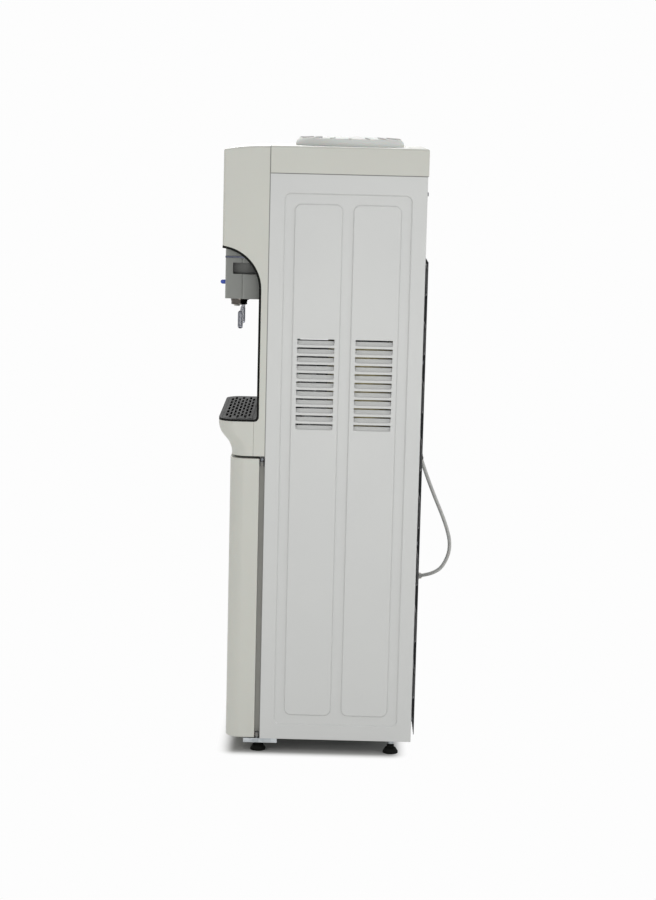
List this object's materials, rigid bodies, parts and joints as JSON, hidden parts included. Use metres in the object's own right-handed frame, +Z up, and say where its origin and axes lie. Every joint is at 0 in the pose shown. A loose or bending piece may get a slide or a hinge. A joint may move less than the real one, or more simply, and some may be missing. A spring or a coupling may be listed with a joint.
{
  "type": "bottom load water cooler",
  "caption": "Tall free-standing water cooler with a hinged lower door for the bottle, a recessed dispensing alcove with hot and cold lever taps, and a drip tray.",
  "frame": {"origin": "on the floor under the middle of the cooler's width and overall depth", "axes": "+Z up, -Y out of the front (door and taps), +X to the cooler's right-hand side as seen from the front"},
  "size_m": [0.4284, 0.4389, 1.097],
  "materials": {
    "powder_coated_steel": "satin cream-white powder coat",
    "galvanised_steel": "dull galvanised sheet",
    "cream_plastic": "satin cream moulding",
    "white_plastic": "white liner, slight gloss",
    "black_plastic": "fine-grained black",
    "grey_plastic": "satin mid grey",
    "dark_blue_plastic": "gloss dark blue",
    "smoked_plastic": "smoky blue-grey, slightly translucent",
    "blue_plastic": "gloss blue",
    "red_plastic": "gloss red",
    "translucent_plastic": "translucent natural",
    "chromed_plastic": "bright chrome",
    "gasket_rubber": "soft grey",
    "black_rubber": "dull black",
    "black_enamel": "black enamel",
    "stainless_steel": "brushed",
    "steel_pin": "zinc plated",
    "copper_tube": "bare copper",
    "foam": "expanded foam",
    "silicone_hose": "milky silicone",
    "grey_cord": "light grey flexible sheath"
  },
  "bodies": {
    "cabinet": {"right_side_panel": "powder_coated_steel", "left_side_panel": "powder_coated_steel", "base_plate": "galvanised_steel", "rear_panel": "galvanised_steel", "rear_grip": "black_plastic", "switch_bezel": "black_plastic", "top_cover": "cream_plastic", "water_reservoir": "white_plastic", "front_panel": "cream_plastic", "alcove_liner": "black_plastic", "tap_housing": "grey_plastic", "housing_trim": "dark_blue_plastic", "cold_tap_valve": "white_plastic", "hot_tap_valve": "white_plastic", "tap_collars": "chromed_plastic", "lever_pins": "steel_pin", "drip_shelf": "cream_plastic", "front_bulkhead": "galvanised_steel", "bottle_liner": "white_plastic", "compressor_shelf": "galvanised_steel", "tank_shelf": "galvanised_steel", "foot_brackets": "galvanised_steel", "top_hinge_bracket": "black_enamel", "hinge_pins": "steel_pin", "condenser_tube": "black_enamel", "condenser_wires": "black_enamel", "condenser_clips": "white_plastic", "compressor": "black_enamel", "compressor_grommets": "black_rubber", "hot_tank": "stainless_steel", "hot_tank_jacket": "foam", "cold_tank": "stainless_steel", "cold_tank_foam": "foam", "water_pump": "black_plastic", "suction_probe": "white_plastic", "pump_hoses": "silicone_hose", "tap_hoses": "silicone_hose", "refrigerant_lines": "copper_tube", "cord_gland": "black_rubber", "cord_tube": "grey_cord", "cord_coil": "grey_cord", "mains_plug": "grey_cord", "cord_clip": "white_plastic", "rear_screws": "steel_pin"},
    "door": {"door_skin": "cream_plastic", "door_inner_panel": "white_plastic", "door_gasket": "gasket_rubber"},
    "reservoir_cap": {"reservoir_cap": "translucent_plastic"},
    "drip_tray": {"drip_tray": "black_plastic"},
    "drip_grille": {"drip_grille": "black_plastic"},
    "cold_tap_lever": {"cold_tap_lever": "smoked_plastic"},
    "hot_tap_lever": {"hot_tap_lever": "smoked_plastic"},
    "push_button": {"push_button": "blue_plastic"},
    "cooling_switch": {"cooling_switch": "black_plastic"},
    "heating_switch": {"heating_switch": "red_plastic"},
    "front_right_foot": {"front_right_foot": "black_plastic"},
    "front_left_foot": {"front_left_foot": "black_plastic"},
    "rear_right_foot": {"rear_right_foot": "black_plastic"},
    "rear_left_foot": {"rear_left_foot": "black_plastic"}
  },
  "joints": [
    {"name": "door_hinge", "type": "hinge", "parent": "cabinet", "child": "door", "pos_m": [0.1502, -0.1003, 0.28], "axis": [0, 0, 1], "range_deg": [0, 95]},
    {"name": "cap_lift", "type": "slide", "parent": "cabinet", "child": "reservoir_cap", "axis": [0, 0, 1], "range_m": [0, 0.12]},
    {"name": "tray_lift", "type": "slide", "parent": "cabinet", "child": "drip_tray", "axis": [0, 0, 1], "range_m": [0, 0.06]},
    {"name": "grille_lift", "type": "slide", "parent": "drip_tray", "child": "drip_grille", "axis": [0, 0, 1], "range_m": [0, 0.06]},
    {"name": "cold_lever_swing", "type": "hinge", "parent": "cabinet", "child": "cold_tap_lever", "pos_m": [0.048, -0.1433, 0.803], "axis": [1, 0, 0], "range_deg": [0, 15], "stiffness_Nm_per_rad": 0.03, "springref_deg": -11.46},
    {"name": "hot_lever_swing", "type": "hinge", "parent": "cabinet", "child": "hot_tap_lever", "pos_m": [-0.048, -0.1433, 0.803], "axis": [1, 0, 0], "range_deg": [0, 15], "stiffness_Nm_per_rad": 0.03, "springref_deg": -11.46},
    {"name": "button_press", "type": "slide", "parent": "cabinet", "child": "push_button", "axis": [0, 1, 0], "range_m": [0, 0.003], "stiffness_N_per_m": 200, "springref_m": -0.002},
    {"name": "cooling_switch_rock", "type": "hinge", "parent": "cabinet", "child": "cooling_switch", "pos_m": [0.017, 0.1703, 0.925], "axis": [1, 0, 0], "range_deg": [0, 16]},
    {"name": "heating_switch_rock", "type": "hinge", "parent": "cabinet", "child": "heating_switch", "pos_m": [-0.017, 0.1703, 0.925], "axis": [1, 0, 0], "range_deg": [0, 16]},
    {"name": "front_right_foot_screw", "type": "hinge", "parent": "cabinet", "child": "front_right_foot", "pos_m": [0.137, -0.098, 0], "axis": [0, 0, 1], "range_deg": [-720, 720]},
    {"name": "front_left_foot_screw", "type": "hinge", "parent": "cabinet", "child": "front_left_foot", "pos_m": [-0.137, -0.098, 0], "axis": [0, 0, 1], "range_deg": [-720, 720]},
    {"name": "rear_right_foot_screw", "type": "hinge", "parent": "cabinet", "child": "rear_right_foot", "pos_m": [0.137, 0.141, 0], "axis": [0, 0, 1], "range_deg": [-720, 720]},
    {"name": "rear_left_foot_screw", "type": "hinge", "parent": "cabinet", "child": "rear_left_foot", "pos_m": [-0.137, 0.141, 0], "axis": [0, 0, 1], "range_deg": [-720, 720]}
  ]
}
